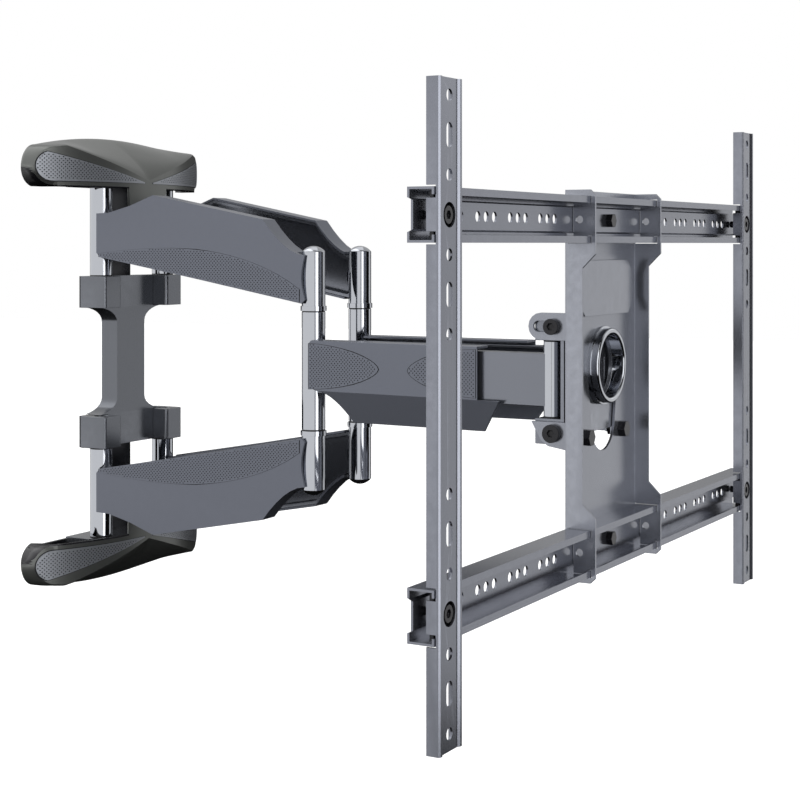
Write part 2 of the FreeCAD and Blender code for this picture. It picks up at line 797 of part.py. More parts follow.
def cross_rail():
    body = cross_rail_solid(-cross_half_length, cross_half_length)
    web = at(cross_back - cross_emboss - cross_sheet) - 1
    holes = [rod(0, web, cross_z, bolt_radius + 0.5, cross_sheet + 2, (0, 1, 0))]
    for side in (-1, 1):
        for group in range(cross_groups):
            for step in (-1, 0, 1):
                x = side * (cross_group_first + group * cross_group_pitch + step * cross_hole_pitch)
                holes.append(rod(x, web, cross_z, cross_hole_radius, cross_sheet + 2, (0, 1, 0)))
    return cut_all(body, holes)


def channel_side():
    """Outline of a channel flange as (Y, height), with ears that reach forward around the rails."""
    step = channel_edge_t - channel_ear_t
    upper = [
        (at(channel_edge_t), channel_ear_low - step),
        (at(channel_ear_t), channel_ear_low),
        (at(channel_ear_t), channel_half_height - channel_corner),
        (at(channel_ear_t + channel_corner), channel_half_height),
        (at(channel_back_t), channel_half_height),
    ]
    return upper + [(y, -z) for y, z in upper[::-1]]


def pad():
    cut = pad_corner
    wide = pad_half_width
    outline = [(-wide, pad_low + cut), (cut - wide, pad_low), (wide - cut, pad_low), (wide, pad_low + cut),
               (wide, pad_high - cut), (wide - cut, pad_high), (cut - wide, pad_high), (-wide, pad_high - cut)]
    return front_prism(outline, at(cross_back - pad_height), at(cross_back + 0.5))


def centre_channel():
    wide = channel_half_width
    web = box(-wide, wide, at(cross_back), at(channel_back_t), -channel_half_height, channel_half_height)
    parts = [web, pad()]
    for x0, x1 in ((-wide, channel_sheet - wide), (wide - channel_sheet, wide)):
        parts.append(side_prism(channel_side(), x0, x1))
    body = join(parts)
    rail_path = cross_rail_solid(-wide - 1, wide + 1, channel_gap, False)
    bolt_path = rod(0, at(cross_back - 9), cross_z, bolt_radius + 0.5, 20, (0, 1, 0))
    tongue_hole = rod(-wide - 1, at((cross_front + cross_back) / 2), cross_z, tongue_hole_radius,
                      2 * wide + 2, (1, 0, 0))
    cutters = [rail_path, bolt_path, tongue_hole]
    cutters += [mirror_z(cutter) for cutter in cutters]
    sheet_front = at(cross_back) - pad_height - 1
    depth = channel_sheet + pad_height + 2
    window_sides = [(-ring_hole_radius, ring_z), (-window_radius, window_z), (window_radius, window_z),
                    (ring_hole_radius, ring_z)]
    cutters.append(rod(0, sheet_front, ring_z, ring_hole_radius, depth, (0, 1, 0)))
    cutters.append(rod(0, sheet_front, window_z, window_radius, depth, (0, 1, 0)))
    cutters.append(front_prism(window_sides, sheet_front, sheet_front + depth))
    for side in (-1, 1):
        x = side * level_bolt_x
        cutters.append(rod(x, sheet_front, level_bolt_z, bolt_radius + thread_gap, depth, (0, 1, 0)))
    return cut_all(body, cutters)


def rail_bolt():
    """Hexagon bolt that holds a cross rail to the channel."""
    seat = at(cross_back - cross_emboss - cross_sheet)
    head = hex_block(0, seat - bolt_head_height, seat, cross_z, bolt_head_flats)
    return join([head, rod(0, seat, cross_z, bolt_radius, at(channel_back_t + 5) - seat, (0, 1, 0))])


def rail_nut():
    back = at(channel_back_t)
    body = hex_block(0, back, back + bolt_head_height - 1, cross_z, bolt_head_flats)
    return body.cut(rod(0, back - 1, cross_z, bolt_radius + fit_gap, 20, (0, 1, 0)))


def level_bolt(side):
    """Hexagon bolt in the channel with its nut behind the tilt plate's arc slot."""
    x = side * level_bolt_x
    seat = at(cross_back)
    nut_front = at(tilt_back_t + level_nut_gap)
    tip = nut_front + level_nut_height
    nut = hex_block(x, nut_front, tip, level_bolt_z, bolt_head_flats)
    head = hex_block(x, seat - bolt_head_height - 1, seat, level_bolt_z, bolt_head_flats + 2)
    return join([head, rod(x, seat, level_bolt_z, bolt_radius, tip - seat, (0, 1, 0)), nut])


# ---------------------------------------------------------------- television rails


def tv_rail_section():
    """Section of a television rail as (x, t): a recessed web between two rims and two side flanges."""
    wide = tv_rail_half_width
    sheet = tv_rail_sheet
    rim = wide - tv_rim_width
    back = tv_rim_front + sheet
    half = [
        (rim - 1.6, 0),
        (rim, tv_rim_front),
        (wide - tv_rim_corner, tv_rim_front),
        (wide, tv_rim_front + tv_rim_corner),
        (wide, tv_rail_back),
        (wide - sheet, tv_rail_back),
        (wide - sheet, back),
        (rim + 0.7, back),
        (rim - 0.9, sheet),
    ]
    return half + [(-x, t) for x, t in half[::-1]]


def tv_rail():
    """Right television rail: holes, slots and two large holes, and slits for the cross rails."""
    x = rail_hole_x
    height = tv_rail_half_height
    body = prism(tv_rail_section(), (0, 0, 2 * height), lambda a, t: (x + a, at(t), -height))
    top = cross_z + tv_first_row * tv_hole_pitch
    front = tv_rim_front - 1
    deep = tv_rail_sheet + 1 - front
    cutters = []
    for row in range(tv_rows):
        z = top - row * tv_hole_pitch
        if row in tv_plain_rows:
            continue
        if row in tv_big_rows:
            cutters.append(rod(x, at(front), z, tv_big_radius, deep, (0, 1, 0)))
            continue
        if row in tv_slot_rows:
            reach = tv_slot_length / 2 - tv_hole_radius
            cutters.append(box(x - tv_hole_radius, x + tv_hole_radius, at(front), at(front + deep),
                               z - reach, z + reach))
            for end in (-reach, reach):
                cutters.append(rod(x, at(front), z + end, tv_hole_radius, deep, (0, 1, 0)))
            continue
        cutters.append(rod(x, at(front), z, tv_hole_radius, deep, (0, 1, 0)))
    slit_low = cross_half_height - cross_lip - slit_gap * 2
    slit_high = cross_half_height + slit_gap
    for z in (-cross_z, cross_z):
        for z0, z1 in ((z + slit_low, z + slit_high), (z - slit_high, z - slit_low)):
            cutters.append(box(x - tv_rail_half_width - 1, x + tv_rail_half_width + 1, at(tv_rail_sheet),
                               at(tv_rail_back) + 1, z0, z1))
    return cut_all(body, cutters)


def rail_clamp(z):
    """Clamp plate welded between the rail's tongues, behind the lips of a cross rail."""
    half = tv_rail_half_width - tv_rail_sheet
    front = at(cross_front + cross_sheet + clamp_gap)
    high = cross_half_height - cross_sheet - slit_gap
    plate = box(rail_hole_x - half, rail_hole_x + half, front, front + clamp_thickness, z - high, z + high)
    return plate.cut(rod(rail_hole_x, front - 1, z, bolt_radius + fit_gap, 9, (0, 1, 0)))


def clamp_screw(z):
    """Clamp screw seen in the rail's large hole, with a hexagon recess."""
    front = at(cross_front + cross_sheet + clamp_gap)
    tip = at(cross_back - cross_emboss - cross_sheet - clamp_gap * 2)
    head = rod(rail_hole_x, front - clamp_head_height, z, clamp_head_radius, clamp_head_height, (0, 1, 0))
    recess = hex_block(rail_hole_x, front - clamp_head_height - 1, front - clamp_head_height / 2, z, clamp_key)
    return join([head, rod(rail_hole_x, front, z, bolt_radius, tip - front, (0, 1, 0))]).cut(recess)


def save_tv_rails():
    parts = {
        "tv_rail": [tv_rail()],
        "rail_clamps": [rail_clamp(-cross_z), rail_clamp(cross_z)],
        "clamp_screws": [clamp_screw(-cross_z), clamp_screw(cross_z)],
    }
    for name, shapes in parts.items():
        save("right_" + name, *shapes)
        save("left_" + name, *[mirror_x(s) for s in shapes])


os.makedirs("parts", exist_ok=True)
save("wall_plate", wall_plate())
save("spine_cover", spine_cover())
save("upper_ears", ear(-1), ear(1))
save("lower_ears", mirror_z(ear(-1)), mirror_z(ear(1)))
save("upper_shelf", shelf())
save("lower_shelf", mirror_z(shelf()))
save("top_cap", cap())
save("bottom_cap", mirror_z(cap()))
pins = [shoulder_pin(-1), shoulder_pin(1)]
save("shoulder_pins", *pins, *[mirror_z(pin) for pin in pins])
save("shoulder_washers", *shoulder_washers())
save_arms()
save("head_yoke", yoke())
save("wrist_pins", wrist_pin(-1), wrist_pin(1))
save("wrist_washers", *wrist_washers())
bolts = [tilt_bolt(tilt_bolt_z, tilt_bolt_head_radius), tilt_bolt(tilt_pivot_z, tilt_pivot_head_radius)]
save("tilt_bolts", *bolts, *[mirror_x(bolt) for bolt in bolts])
save("tilt_plate", tilt_plate())
save("level_ring", level_ring())
save("centre_channel", centre_channel())
save("upper_cross_rail", cross_rail())
save("lower_cross_rail", mirror_z(cross_rail()))
save("rail_bolts", rail_bolt(), mirror_z(rail_bolt()))
save("rail_nuts", rail_nut(), mirror_z(rail_nut()))
save("level_bolts", level_bolt(-1), level_bolt(1))
save_tv_rails()
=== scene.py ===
# Full motion television wall mount: paint, polished columns, moulded covers with dotted panels
import bpy
import bmesh
import json
from math import atan2, cos, pi, radians, sin, sqrt
from mathutils import Vector, Matrix


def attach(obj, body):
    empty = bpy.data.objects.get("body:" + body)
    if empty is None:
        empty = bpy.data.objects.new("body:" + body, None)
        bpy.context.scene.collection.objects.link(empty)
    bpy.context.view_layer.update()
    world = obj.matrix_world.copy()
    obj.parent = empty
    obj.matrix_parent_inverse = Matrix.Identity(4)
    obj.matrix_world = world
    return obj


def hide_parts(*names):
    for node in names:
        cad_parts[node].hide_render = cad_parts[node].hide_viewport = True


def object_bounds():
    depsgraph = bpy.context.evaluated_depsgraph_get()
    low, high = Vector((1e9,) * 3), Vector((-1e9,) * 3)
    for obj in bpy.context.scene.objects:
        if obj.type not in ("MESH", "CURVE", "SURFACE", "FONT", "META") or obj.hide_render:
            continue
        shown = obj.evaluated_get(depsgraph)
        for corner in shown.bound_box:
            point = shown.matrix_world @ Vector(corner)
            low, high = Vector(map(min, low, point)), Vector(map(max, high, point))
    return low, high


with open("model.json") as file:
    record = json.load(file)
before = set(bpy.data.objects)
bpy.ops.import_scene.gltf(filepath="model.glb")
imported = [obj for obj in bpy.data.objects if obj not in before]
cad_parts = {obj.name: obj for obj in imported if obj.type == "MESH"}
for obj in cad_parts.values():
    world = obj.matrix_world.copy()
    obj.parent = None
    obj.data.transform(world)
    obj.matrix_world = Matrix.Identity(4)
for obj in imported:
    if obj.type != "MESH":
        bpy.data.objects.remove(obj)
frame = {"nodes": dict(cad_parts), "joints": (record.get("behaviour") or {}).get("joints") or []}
cadLow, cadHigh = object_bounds()
joints = {joint["name"]: joint for joint in frame["joints"]}
print("frame loaded:", len(frame["nodes"]), "nodes")

scene = bpy.context.scene

weldDistance = 0.00002
flatAngle = 1.0
shareOfDot = dict(inside=0.9, slope=0.1)

# places taken from the frame
shoulder = Vector(joints["left_shoulder"]["pos_m"])
elbow = Vector(joints["left_elbow"]["pos_m"])
wrist = Vector(joints["wrist"]["pos_m"])
armTurn = atan2(elbow.x - shoulder.x, shoulder.y - elbow.y)  # the arms lean a little towards the middle


# shader groups that several materials share
# painted highlight along sharp edges: patch size, where it starts, how steeply it rises and how much lighter the
# colour gets
paintedSheenLook = dict(patchScale=160.0, startsAt=0.52, steepness=9.0, gain=2.4, lift=0.03)
bumpDistance = 0.0002


def newGroup(name, inputs, outputs):
    group = bpy.data.node_groups.new(name, "ShaderNodeTree")
    for label, value in inputs:
        socket = group.interface.new_socket(label, in_out="INPUT", socket_type="NodeSocketFloat")
        socket.default_value = value
    for label, kind in outputs:
        group.interface.new_socket(label, in_out="OUTPUT", socket_type=kind)
    return group, group.nodes.new("NodeGroupInput"), group.nodes.new("NodeGroupOutput")


def mathNode(tree, operation, first, second):
    node = tree.nodes.new("ShaderNodeMath")
    node.operation = operation
    for index, value in enumerate((first, second)):
        if isinstance(value, (int, float)):
            node.inputs[index].default_value = value
        else:
            tree.links.new(value, node.inputs[index])
    return node.outputs[0]


def buildGrain():
    # fine speckle, soft mottling and orange-peel height, all on object coordinates in metres
    group, given, out = newGroup("surfaceGrain", [("Speckle Scale", 2500.0), ("Mottle Scale", 30.0),
                                                  ("Mottle", 0.1)],
                                 [("Speckle", "NodeSocketFloat"), ("Tone", "NodeSocketFloat"),
                                  ("Height", "NodeSocketFloat")])
    links = group.links
    place = group.nodes.new("ShaderNodeTexCoord")
    speckle = group.nodes.new("ShaderNodeTexNoise")
    speckle.inputs["Detail"].default_value = 2.0
    mottle = group.nodes.new("ShaderNodeTexNoise")
    mottle.inputs["Detail"].default_value = 4.0
    mottle.inputs["Roughness"].default_value = 0.6
    links.new(place.outputs["Object"], speckle.inputs["Vector"])
    links.new(place.outputs["Object"], mottle.inputs["Vector"])
    links.new(given.outputs["Speckle Scale"], speckle.inputs["Scale"])
    links.new(given.outputs["Mottle Scale"], mottle.inputs["Scale"])
    swing = mathNode(group, "SUBTRACT", mottle.outputs["Fac"], 0.5)
    scaled = mathNode(group, "MULTIPLY", swing, given.outputs["Mottle"])
    tone = mathNode(group, "ADD", scaled, 1.0)
    broad = mathNode(group, "MULTIPLY", mottle.outputs["Fac"], 2.0)
    height = mathNode(group, "ADD", speckle.outputs["Fac"], broad)
    links.new(speckle.outputs["Fac"], out.inputs["Speckle"])
    links.new(tone, out.inputs["Tone"])
    links.new(height, out.inputs["Height"])
    return group


def buildPaintedEdgeSheen():
    # painted highlight: a lighter tone along sharp edges, broken into patches, from how sharply the surface turns
    group, given, out = newGroup("paintedEdgeSheen", [("Reach", 0.6)], [("Rub", "NodeSocketFloat")])
    form = group.nodes.new("ShaderNodeNewGeometry")
    place = group.nodes.new("ShaderNodeTexCoord")
    patch = group.nodes.new("ShaderNodeTexNoise")
    patch.inputs["Scale"].default_value = paintedSheenLook["patchScale"]
    group.links.new(place.outputs["Object"], patch.inputs["Vector"])
    above = mathNode(group, "SUBTRACT", form.outputs["Pointiness"], paintedSheenLook["startsAt"])
    steep = mathNode(group, "MULTIPLY", above, paintedSheenLook["steepness"])
    held = mathNode(group, "MAXIMUM", mathNode(group, "MINIMUM", steep, 1.0), 0.0)
    broken = mathNode(group, "MULTIPLY", held, patch.outputs["Fac"])
    rub = mathNode(group, "MULTIPLY", broken, given.outputs["Reach"])
    group.links.new(rub, out.inputs["Rub"])
    return group


grainGroup = buildGrain()
paintedSheenGroup = buildPaintedEdgeSheen()

# what each finish is: colour, metallic, roughness, how it varies and how much painted edge highlight it gets
finishes = {
    "wallPaint": dict(colour=(0.155, 0.163, 0.182), metallic=0.8, rough=0.22, vary=0.05, speckle=2600, bump=0.01,
                      tone=0.015, rub=0.25),
    "armPaint": dict(colour=(0.2, 0.21, 0.24), metallic=0.85, rough=0.2, vary=0.05, speckle=2400, bump=0.01,
                     tone=0.015, rub=0.25),
    "coverPlastic": dict(colour=(0.155, 0.166, 0.2), metallic=0.6, rough=0.34, vary=0.05, speckle=3200, bump=0.02,
                         tone=0.012, rub=0.2),
    # painted shade: a near-black copy of the wall steel for the wall plate, which sits in shadow
    "plateBlack": dict(colour=(0.02, 0.021, 0.026), metallic=0.5, rough=0.25, vary=0.05, speckle=2600, bump=0.01,
                       tone=0.05, rub=0.3),
    # painted reflection: a lighter copy of the cap plastic for the dotted wings, standing in for the light they
    # reflect
    "wingPlasticPaintedSheen": dict(colour=(0.3, 0.315, 0.345), metallic=0.6, rough=0.36, vary=0.05, speckle=3200, bump=0.02,
                        tone=0.015, rub=0.2),
    "capPlastic": dict(colour=(0.14, 0.146, 0.14), metallic=0.6, rough=0.3, vary=0.05, speckle=3200, bump=0.02,
                       tone=0.015, rub=0.25),
    "platePaint": dict(colour=(0.28, 0.292, 0.33), metallic=0.8, rough=0.22, vary=0.05, speckle=2400, bump=0.01,
                       tone=0.015, rub=0.25),
    "railPaint": dict(colour=(0.215, 0.225, 0.26), metallic=0.85, rough=0.2, vary=0.05, speckle=2400, bump=0.01,
                      tone=0.012, rub=0.25),
    "columnPolish": dict(colour=(0.46, 0.475, 0.51), metallic=1.0, rough=0.05, vary=0.02, speckle=1800, bump=0.0,
                         tone=0.015, rub=0.0),
    "pinSteel": dict(colour=(0.42, 0.43, 0.45), metallic=1.0, rough=0.18, vary=0.08, speckle=1500, bump=0.02,
                     tone=0.05, rub=0.0),
    "boltBlack": dict(colour=(0.014, 0.014, 0.017), metallic=0.4, rough=0.24, vary=0.1, speckle=1800, bump=0.03,
                      tone=0.1, rub=0.4),
    "nylonBlack": dict(colour=(0.012, 0.012, 0.013), metallic=0.0, rough=0.5, vary=0.1, speckle=2000, bump=0.04,
                       tone=0.08, rub=0.0),
    "dotShade": dict(colour=(0.01, 0.011, 0.014), metallic=0.0, rough=0.7, vary=0.1, speckle=2500, bump=0.0,
                     tone=0.08, rub=0.0),
}


def makeFinish(name, values):
    material = bpy.data.materials.new(name)
    material.use_nodes = True
    tree = material.node_tree
    shader = tree.nodes["Principled BSDF"]
    shader.inputs["Metallic"].default_value = values["metallic"]
    grain = tree.nodes.new("ShaderNodeGroup")
    grain.node_tree = grainGroup
    grain.inputs["Speckle Scale"].default_value = values["speckle"]
    grain.inputs["Mottle"].default_value = values["tone"] * 2.0
    toned = tree.nodes.new("ShaderNodeVectorMath")
    toned.operation = "SCALE"
    toned.inputs[0].default_value = values["colour"]
    tree.links.new(grain.outputs["Tone"], toned.inputs["Scale"])
    colour = toned.outputs[0]
    # painted highlight: sharp edges mix towards a lighter copy of the colour
    if values["rub"]:
        rub = tree.nodes.new("ShaderNodeGroup")
        rub.node_tree = paintedSheenGroup
        rub.inputs["Reach"].default_value = values["rub"]
        mix = tree.nodes.new("ShaderNodeMix")
        mix.data_type = "RGBA"
        sheenColour = [min(1.0, part * paintedSheenLook["gain"] + paintedSheenLook["lift"]) for part in values["colour"]]
        mix.inputs["B"].default_value = (*sheenColour, 1.0)
        tree.links.new(rub.outputs["Rub"], mix.inputs["Factor"])
        tree.links.new(colour, mix.inputs["A"])
        colour = mix.outputs["Result"]
    tree.links.new(colour, shader.inputs["Base Color"])
    swing = mathNode(tree, "MULTIPLY", grain.outputs["Speckle"], values["vary"])
    rough = mathNode(tree, "ADD", swing, values["rough"] - values["vary"] * 0.5)
    tree.links.new(rough, shader.inputs["Roughness"])
    if values["bump"]:
        bump = tree.nodes.new("ShaderNodeBump")
        bump.inputs["Strength"].default_value = values["bump"]
        bump.inputs["Distance"].default_value = bumpDistance
        tree.links.new(grain.outputs["Height"], bump.inputs["Height"])
        tree.links.new(bump.outputs["Normal"], shader.inputs["Normal"])
    return material


paints = {name: makeFinish(name, values) for name, values in finishes.items()}
print("finishes made:", len(paints))


# helpers for pieces
def mergedCopy(nodeName):
    # the CAD mesh is loose triangles, so a copy is merged and its flat faces joined
    bm = bmesh.new()
    bm.from_mesh(frame["nodes"][nodeName].data)
    bmesh.ops.remove_doubles(bm, verts=bm.verts, dist=weldDistance)
    bmesh.ops.dissolve_limit(bm, angle_limit=radians(flatAngle), verts=bm.verts, edges=bm.edges)
    return bm


def softenEdges(bm, width, angle=35.0, segments=2):
    sharp = [edge for edge in bm.edges if edge.is_manifold and edge.calc_face_angle(0.0) > radians(angle)]
    bmesh.ops.bevel(bm, geom=sharp, offset=width, affect="EDGES", segments=segments, profile=0.5,
                    material=-1, clamp_overlap=True)


def shadeByAngle(piece, angle=30.0):
    mesh = piece.data
    for polygon in mesh.polygons:
        polygon.use_smooth = True
    mesh.set_sharp_from_angle(angle=radians(angle))
    even = piece.modifiers.new("evenNormals", "WEIGHTED_NORMAL")
    even.keep_sharp = True


def addPiece(name, bm, body, finish, replaced=(), sharp=30.0):
    mesh = bpy.data.meshes.new(name)
    bm.to_mesh(mesh)
    bm.free()
    for one in (finish if isinstance(finish, (list, tuple)) else [finish]):
        mesh.materials.append(paints[one])
    piece = bpy.data.objects.new(name, mesh)
    scene.collection.objects.link(piece)
    shadeByAngle(piece, sharp)
    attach(piece, body)
    for nodeName in replaced:
        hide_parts(nodeName)
    return piece


def pieceName(nodeName):
    words = nodeName.split("_")
    return words[0] + "".join(word.capitalize() for word in words[1:])


def nearColumn(point, columns):
    # true where a point lies on one of the given upright columns
    for centre, radius, low, high in columns:
        flat = Vector((point.x - centre.x, point.y - centre.y))
        if flat.length < radius and low <= abs(point.z) <= high:
            return True
    return False


def softened(nodeName, body, finish, width=0.0005, segments=2, angle=35.0, shine=None, sharp=30.0):
    bm = mergedCopy(nodeName)
    softenEdges(bm, width, angle, segments)
    if shine:
        for face in bm.faces:
            face.material_index = 1 if nearColumn(face.calc_center_median(), shine) else 0
    return addPiece(pieceName(nodeName), bm, body, finish, [nodeName], sharp)


def mirrored(bm, x=False, z=False):
    if x:
        bmesh.ops.scale(bm, vec=(-1, 1, 1), verts=bm.verts)
    if z:
        bmesh.ops.scale(bm, vec=(1, 1, -1), verts=bm.verts)
    if x != z:
        bmesh.ops.reverse_faces(bm, faces=bm.faces)
    return bm


# dotted panels: a diamond grid whose cells are sunk as dimples, trimmed to a rounded outline
def insideBy(point, outline):
    # how far a point lies inside an outline that runs anticlockwise and bends one way only
    least = 9.0
    for first, second in zip(outline, outline[1:] + outline[:1]):
        along = Vector((second[0] - first[0], second[1] - first[1]))
        if along.length > 1e-9:
            least = min(least, along.cross(Vector((point[0] - first[0], point[1] - first[1]))) / along.length)
    return least


def onlyVerts(parts):
    return [part for part in parts if isinstance(part, bmesh.types.BMVert)]


def dottedPanel(outline, pitch, dot, sunk, proud):
    # lies in the XZ plane and faces -Y; the dimples take the second material
    across = [point[0] for point in outline]
    up = [point[1] for point in outline]
    middle = Vector(((min(across) + max(across)) / 2, 0, (min(up) + max(up)) / 2))
    count = int((max(across) - min(across) + max(up) - min(up)) / pitch / 1.41) + 4  # enough for the diagonal
    bm = bmesh.new()
    bmesh.ops.create_grid(bm, x_segments=count, y_segments=count, size=count * pitch / 2)
    bmesh.ops.rotate(bm, cent=(0, 0, 0), matrix=Matrix.Rotation(radians(45), 3, "Z"), verts=bm.verts)
    bmesh.ops.rotate(bm, cent=(0, 0, 0), matrix=Matrix.Rotation(radians(90), 3, "X"), verts=bm.verts)
    bmesh.ops.translate(bm, vec=middle, verts=bm.verts)
    depths = {face: insideBy((face.calc_center_median().x, face.calc_center_median().z), outline)
              for face in bm.faces}
    bmesh.ops.delete(bm, geom=[face for face, depth in depths.items() if depth < -pitch], context="FACES")
    dots = [face for face, depth in depths.items() if face.is_valid and depth > dot * shareOfDot["inside"]]
    bmesh.ops.inset_individual(bm, faces=dots, thickness=(pitch - dot) / 2, depth=0.0, use_even_offset=True)
    for face in dots:
        face.material_index = 1
    bmesh.ops.inset_individual(bm, faces=dots, thickness=dot * shareOfDot["slope"], depth=-sunk,
                               use_even_offset=True)
    for first, second in zip(outline, outline[1:] + outline[:1]):
        along = Vector((second[0] - first[0], 0, second[1] - first[1]))
        if along.length > 1e-6:
            geometry = bm.verts[:] + bm.edges[:] + bm.faces[:]
            bmesh.ops.bisect_plane(bm, geom=geometry, dist=1e-7, plane_co=(first[0], 0, first[1]),
                                   plane_no=(along.z, 0, -along.x), clear_outer=True)
    rim = [edge for edge in bm.edges if edge.is_boundary]
    skirt = bmesh.ops.extrude_edge_only(bm, edges=rim)["geom"]
    bmesh.ops.translate(bm, vec=(0, proud, 0), verts=onlyVerts(skirt))
    bmesh.ops.translate(bm, vec=(0, -proud, 0), verts=bm.verts)
    bmesh.ops.recalc_face_normals(bm, faces=bm.faces)
    return bm


def panelSeat(outline, grow, proud):
    # the dark groove around a panel: the same outline, a little larger and nearly flush
    bm = bmesh.new()
    middle = Vector((sum(p[0] for p in outline) / len(outline), sum(p[1] for p in outline) / len(outline)))
    corners = []
    for point in outline:
        away = Vector(point) - middle
        spot = middle + away * ((away.length + grow) / away.length)
        corners.append(bm.verts.new((spot.x, 0, spot.y)))
    bm.faces.new(corners)
    forward = bmesh.ops.extrude_face_region(bm, geom=bm.faces[:])["geom"]
    bmesh.ops.translate(bm, vec=(0, -proud, 0), verts=onlyVerts(forward))
    bmesh.ops.recalc_face_normals(bm, faces=bm.faces)
    return bm


# caps over the wall screws: a V crease, a domed top, round ends and dotted wings
capShape = dict(halfWidth=0.1175, roundFrom=0.1, middle=0.174, low=0.157, peak=0.2045, topFall=0.0088,
                creaseAt=0.096, creaseLow=0.165, creaseHigh=0.1945, apexDepth=0.049, fall=0.0044, fallAt=0.05,
                fallPower=2.34, beakHalf=0.0268, beakLow=0.141, wall=0.0022, rim=0.003, lip=0.0014,
                closeTo=0.104, blendFrom=0.06, domePower=1.35, domeEase=0.85, stepHalf=0.0006,
                panelRound=0.013, panelAt=0.104, panelLow=0.1622, panelTip=0.006, panelTipHeight=0.001,
                panelStart=108.0, pitch=0.0024, dot=0.001, sunk=0.0002, proud=0.0005,
                edge=0.0006, edgeAngle=20.0, lipShare=0.8)
grooveShape = dict(proud=0.00012, capGrow=0.0009, armGrow=0.0007, longEdge=0.03, cuts=24)
capRows = dict(wall=12, dome=16, column=0.004, columns=24, end=12, arc=14)


def capDepth(x):
    return capShape["apexDepth"] - capShape["fall"] * (abs(x) / capShape["fallAt"]) ** capShape["fallPower"]


def easeStep(value, low, high):
    part = min(1.0, max(0.0, (value - low) / (high - low)))
    return part * part * (3 - 2 * part)


def capHeights(x):
    # lower edge, crease and upper edge of the cap at this distance from the middle
    far = abs(x)
    top = capShape["peak"] - capShape["topFall"] * (min(far, capShape["roundFrom"]) / capShape["creaseAt"]) ** 2
    low = capShape["beakLow"] if far <= capShape["beakHalf"] else capShape["low"]
    if far > capShape["roundFrom"]:
        part = (far - capShape["roundFrom"]) / (capShape["halfWidth"] - capShape["roundFrom"])
        swell = sqrt(max(0.0, 1 - part * part))
        top = capShape["middle"] + (top - capShape["middle"]) * swell
        low = capShape["middle"] - (capShape["middle"] - low) * swell
    rise = (capShape["creaseHigh"] - capShape["creaseLow"]) * far / capShape["creaseAt"]
    crease = min(capShape["creaseLow"] + rise, top - capShape["rim"])
    if far > capShape["roundFrom"]:
        crease = max(crease, (low + top) / 2)
    return low, crease, top


def rimClosing(x, above):
    # near the round ends the wall draws in towards its lower edge
    part = min(1.0, max(0.0, above / capShape["rim"]))
    closed = sqrt(max(0.0, 1 - (1 - part) ** 2))
    return 1 - (1 - closed) * easeStep(abs(x), capShape["roundFrom"], capShape["closeTo"])


def capColumns():
    inner = [i * capRows["column"] for i in range(-capRows["columns"], capRows["columns"] + 1)]
    steps = [capShape["beakHalf"], capShape["beakHalf"] + capShape["stepHalf"]]
    reach = capShape["halfWidth"] - capShape["roundFrom"]
    turns = capRows["end"]
    ends = [capShape["roundFrom"] + reach * sin(pi / 2 * i / turns) for i in range(turns + 1)]
    return sorted(inner + steps + [-x for x in steps] + ends + [-x for x in ends])


def capShell():
    columns = capColumns()
    wallRows, domeRows = capRows["wall"], capRows["dome"]
    bm = bmesh.new()
    bmesh.ops.create_grid(bm, x_segments=len(columns) - 1, y_segments=wallRows + domeRows, size=1.0)
    for vert in bm.verts:
        x = columns[round((vert.co.x + 1) / 2 * (len(columns) - 1))]
        row = round((vert.co.y + 1) / 2 * (wallRows + domeRows))
        low, crease, top = capHeights(x)
        depth = capDepth(x)
        if row <= wallRows:
            lip = min(capShape["lip"], (crease - low) * 0.1)
            z = low + lip * min(row, 1) + (crease - low - lip) * max(row - 1, 0) / (wallRows - 1)
            depth *= rimClosing(x, z - low)
        else:
            up = sin(pi / 2 * (row - wallRows) / domeRows)
            z = crease + (top - crease) * up
            domed = max(0.0, 1 - up ** capShape["domePower"]) ** capShape["domeEase"]
            rounded = sqrt(max(0.0, 1 - up * up))
            mix = easeStep(abs(x), capShape["blendFrom"], capShape["roundFrom"])
            depth *= (domed * (1 - mix) + rounded * mix) * rimClosing(x, crease - low)
        vert.co = (x, -depth, z)
    bmesh.ops.remove_doubles(bm, verts=bm.verts, dist=weldDistance)
    for face in bm.faces:
        face.normal_update()
    if sum(face.normal.y * face.calc_area() for face in bm.faces) > 0:
        bmesh.ops.reverse_faces(bm, faces=bm.faces)
    # painted shade: the lowest strip of the wall outside the beak takes the black second material, as shade along
    # the cap's lower edge
    for face in bm.faces:
        middle = face.calc_center_median()
        lipped = abs(middle.x) > capShape["beakHalf"] + capShape["stepHalf"]
        lipTop = capHeights(middle.x)[0] + capShape["lip"] * capShape["lipShare"]
        face.material_index = 1 if lipped and middle.z < lipTop else 0
    softenEdges(bm, capShape["edge"], capShape["edgeAngle"], 3)
    return bm


def wingOutline():
    # left wing, seen from the front: a round outer end and two straight sides that meet near the middle
    radius = capShape["panelRound"]
    centre = (-capShape["panelAt"], capShape["panelLow"] + radius)
    start = radians(capShape["panelStart"])
    turnBy = radians(270) - start
    turns = [start + turnBy * i / capRows["arc"] for i in range(capRows["arc"] + 1)]
    arc = [(centre[0] + radius * cos(turn), centre[1] + radius * sin(turn)) for turn in turns]
    tip, low = -capShape["panelTip"], capShape["panelLow"]
    return arc + [(tip, low), (tip, low + capShape["panelTipHeight"])]


def onCapFace(bm):
    for vert in bm.verts:
        vert.co.y -= capDepth(vert.co.x)
    return bm


